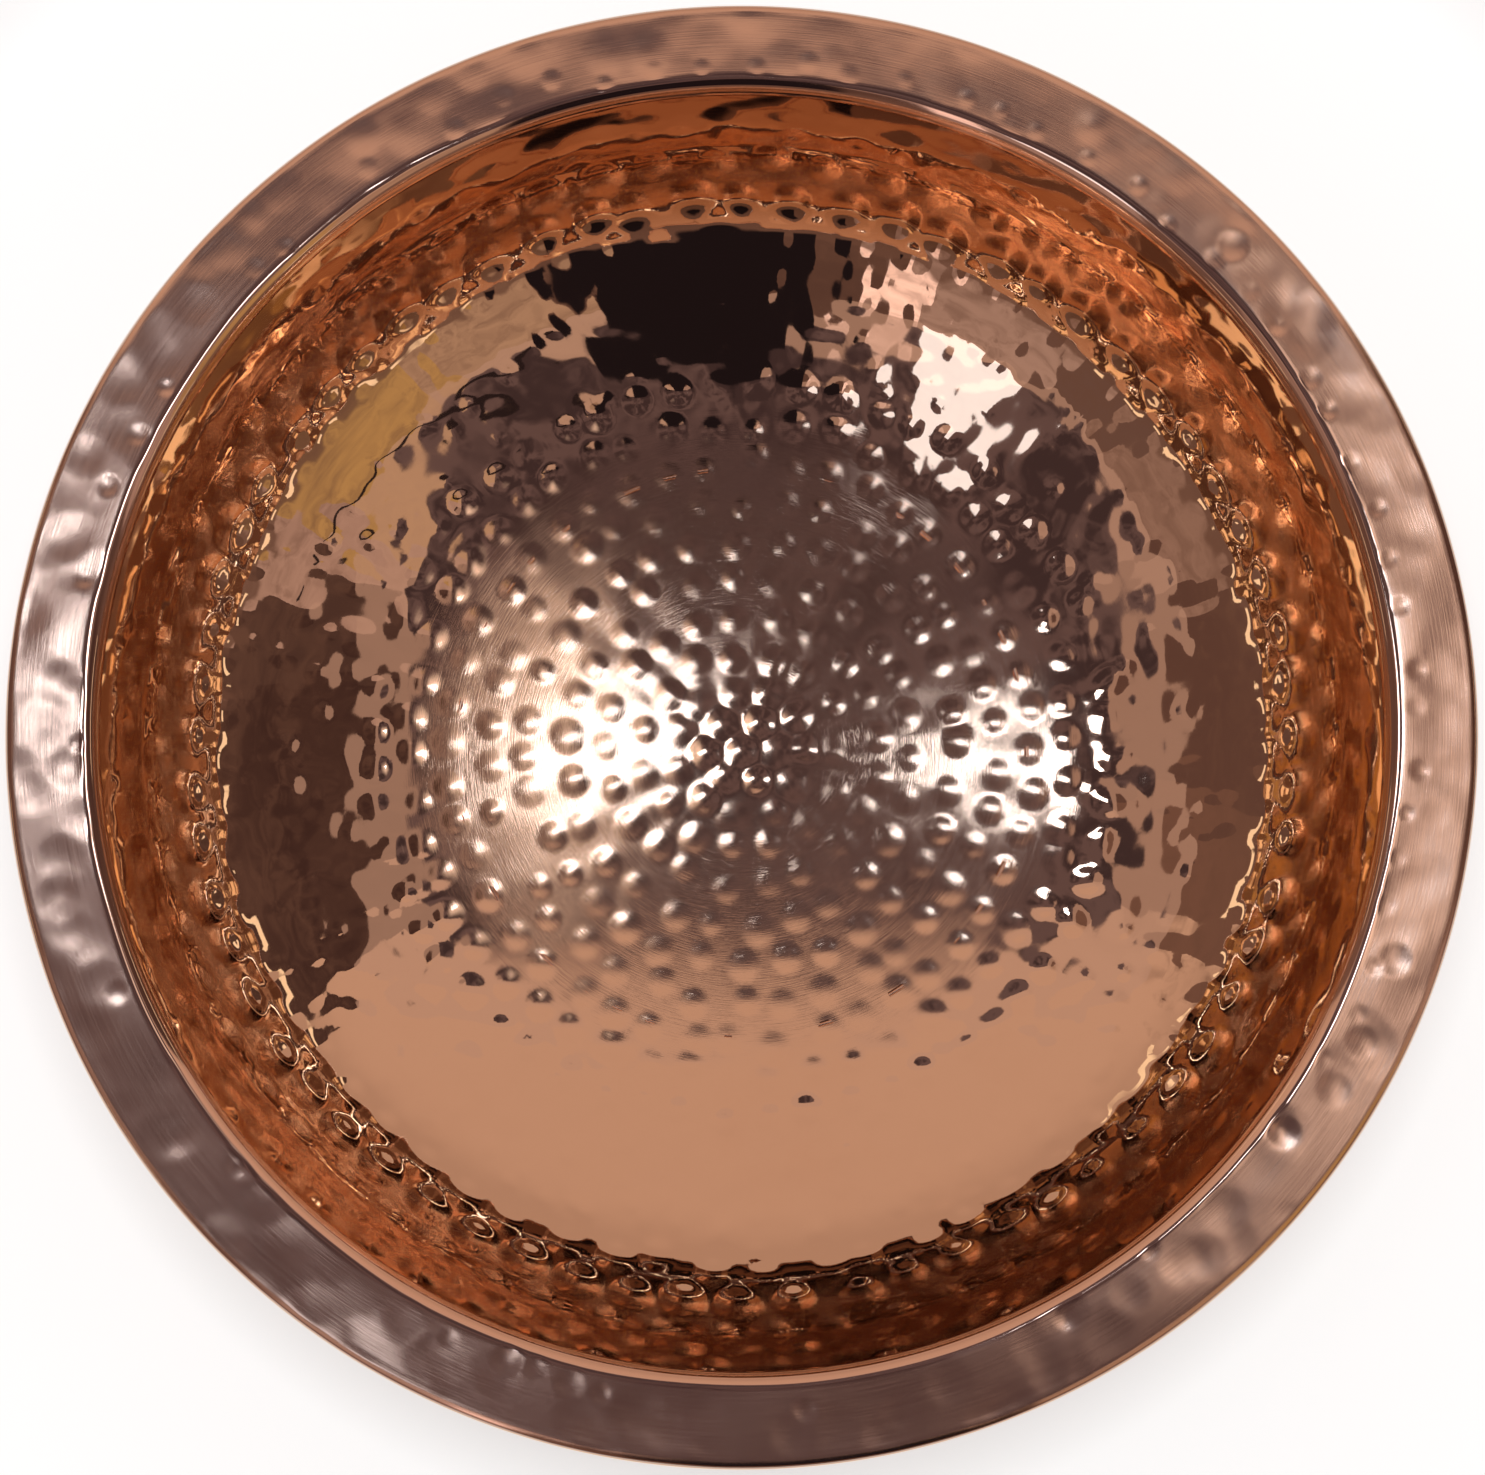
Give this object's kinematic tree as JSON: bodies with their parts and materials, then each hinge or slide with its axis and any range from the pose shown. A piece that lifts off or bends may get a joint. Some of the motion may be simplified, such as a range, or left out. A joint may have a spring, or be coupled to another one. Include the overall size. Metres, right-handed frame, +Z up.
{
  "type": "hammered copper bowl",
  "caption": "Wide round hammered copper bowl: dished floor, steep wall, flat rim rolled over a wire, low foot ring. Free-standing basin for water, fruit or ice.",
  "frame": {"origin": "centre of the foot ring's bottom face, on the surface that the bowl stands on", "axes": "+Z up along the bowl's axis of revolution, out of the mouth; X and Y are interchangeable"},
  "size_m": [0.4059, 0.406, 0.127],
  "materials": {
    "shell_copper": "polished hammered copper, brushed floor",
    "rim_copper": "satin brushed hammered copper",
    "foot_copper": "satin copper",
    "wire_steel": "drawn wire",
    "solder": "dull soft solder"
  },
  "bodies": {
    "root": {"bowl_shell": "shell_copper", "rim_ring": "rim_copper", "rim_wire": "wire_steel", "rim_solder": "solder", "foot_ring": "foot_copper", "foot_solder": "solder"}
  },
  "joints": []
}
